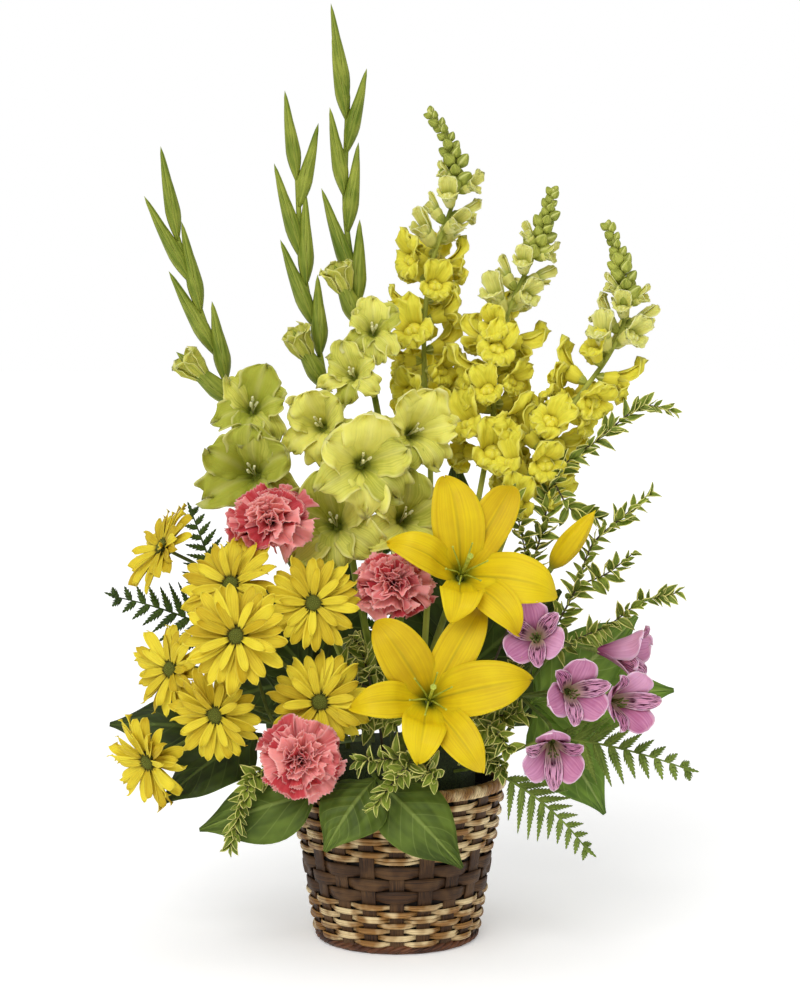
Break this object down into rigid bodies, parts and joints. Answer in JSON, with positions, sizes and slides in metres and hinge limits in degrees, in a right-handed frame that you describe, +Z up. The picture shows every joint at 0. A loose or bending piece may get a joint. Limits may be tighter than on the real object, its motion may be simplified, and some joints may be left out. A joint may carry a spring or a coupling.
{
  "type": "flower basket arrangement",
  "caption": "One-sided basket arrangement: tall lime gladioli and yellow snapdragons behind lilies, daisies, carnations and alstroemeria, collared with leaves and fern.",
  "frame": {"origin": "centre of the basket's base, on the surface it stands on", "axes": "+Z up through the basket, -Y towards the front of the arrangement, +X to its right as seen from the front"},
  "size_m": [0.476, 0.2717, 0.773],
  "materials": {
    "bamboo": "varnished dark bamboo",
    "cane": "varnished tan bamboo",
    "liner": "smooth dark plastic",
    "foam": "wet, open-celled floral foam",
    "gladiolus_stem": "smooth, waxy, mid green",
    "gladiolus_petal": "soft, lime green with paler edges",
    "snapdragon_stem": "matt, lime green",
    "snapdragon_petal": "velvety lemon yellow",
    "daisy_petal": "grooved lemon yellow",
    "daisy_green": "matt olive green",
    "lily_petal": "satin golden yellow",
    "lily_green": "smooth yellow green",
    "carnation_petal": "soft coral pink",
    "carnation_green": "waxy grey green",
    "alstroemeria_petal": "soft mauve pink with dark streaks",
    "alstroemeria_green": "smooth mid green",
    "boxwood": "leathery green with cream margins",
    "fern": "matt dark green",
    "salal": "leathery deep green with a soft shine"
  },
  "bodies": {
    "root": {"basket_weave": "bamboo", "basket_rim": "cane", "basket_foot": "bamboo", "liner": "liner", "daisy_1_petals": "daisy_petal", "daisy_2_petals": "daisy_petal", "daisy_3_petals": "daisy_petal", "daisy_4_petals": "daisy_petal", "daisy_5_petals": "daisy_petal", "daisy_6_petals": "daisy_petal", "daisy_7_petals": "daisy_petal", "daisy_8_petals": "daisy_petal", "daisy_spray_1_stem": "daisy_green", "daisy_spray_2_stem": "daisy_green", "daisy_spray_3_stem": "daisy_green", "lily_bud": "lily_petal", "lily_upper_petals": "lily_petal", "lily_upper_stem": "lily_green", "lily_lower_petals": "lily_petal", "lily_lower_stem": "lily_green", "carnation_1_petals": "carnation_petal", "carnation_1_stem": "carnation_green", "carnation_2_petals": "carnation_petal", "carnation_2_stem": "carnation_green", "carnation_3_petals": "carnation_petal", "carnation_3_stem": "carnation_green", "alstroemeria_1_petals": "alstroemeria_petal", "alstroemeria_2_petals": "alstroemeria_petal", "alstroemeria_3_petals": "alstroemeria_petal", "alstroemeria_4_petals": "alstroemeria_petal", "alstroemeria_5_petals": "alstroemeria_petal", "alstroemeria_stem": "alstroemeria_green", "gladiolus_left_stem": "gladiolus_stem", "gladiolus_left_blooms": "gladiolus_petal", "gladiolus_middle_stem": "gladiolus_stem", "gladiolus_middle_blooms": "gladiolus_petal", "gladiolus_right_stem": "gladiolus_stem", "gladiolus_right_blooms": "gladiolus_petal", "snapdragon_left_stem": "snapdragon_stem", "snapdragon_left_florets": "snapdragon_petal", "snapdragon_middle_stem": "snapdragon_stem", "snapdragon_middle_florets": "snapdragon_petal", "snapdragon_right_stem": "snapdragon_stem", "snapdragon_right_florets": "snapdragon_petal", "salal_left": "salal", "salal_front": "salal", "salal_right": "salal", "salal_back_left": "salal", "salal_back_right": "salal", "fern_left": "fern", "fern_right": "fern", "fern_front_right": "fern", "fern_back": "fern", "boxwood_right_top": "boxwood", "boxwood_right_low": "boxwood", "boxwood_front": "boxwood", "boxwood_left": "boxwood", "boxwood_middle_right": "boxwood", "boxwood_middle_left": "boxwood", "floral_foam": "foam"}
  },
  "joints": []
}
